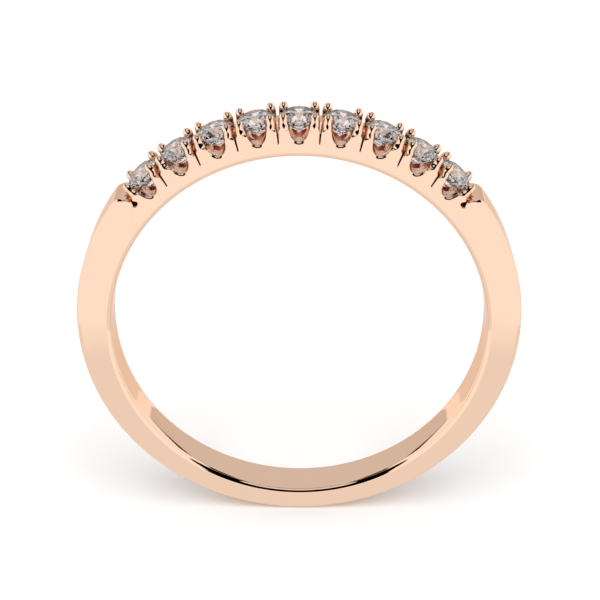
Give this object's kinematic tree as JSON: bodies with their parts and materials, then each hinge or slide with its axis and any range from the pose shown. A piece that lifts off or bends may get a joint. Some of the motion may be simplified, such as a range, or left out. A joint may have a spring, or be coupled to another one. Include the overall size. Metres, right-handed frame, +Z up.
{
  "type": "wedding band",
  "caption": "Slim polished rose gold ring that thickens towards a top row of claw-set round brilliants, each over its own arch.",
  "frame": {"origin": "centre of the finger bore, on its axis and midway across the band", "axes": "+Y along the finger bore, +Z up through the middle stone, +X across the finger along the row of stones"},
  "size_m": [0.0202, 0.002, 0.0202],
  "materials": {
    "rose_gold_shank": "high polish",
    "rose_gold_gallery": "high polish",
    "rose_gold_claws": "high polish",
    "diamond": "polished facets"
  },
  "bodies": {
    "root": {"shank": "rose_gold_shank", "gallery": "rose_gold_gallery", "claws_1": "rose_gold_claws", "claws_2": "rose_gold_claws", "claws_3": "rose_gold_claws", "claws_4": "rose_gold_claws", "claws_5": "rose_gold_claws", "claws_6": "rose_gold_claws", "claws_7": "rose_gold_claws", "claws_8": "rose_gold_claws", "claws_9": "rose_gold_claws", "diamond_1": "diamond", "diamond_2": "diamond", "diamond_3": "diamond", "diamond_4": "diamond", "diamond_5": "diamond", "diamond_6": "diamond", "diamond_7": "diamond", "diamond_8": "diamond", "diamond_9": "diamond"}
  },
  "joints": []
}
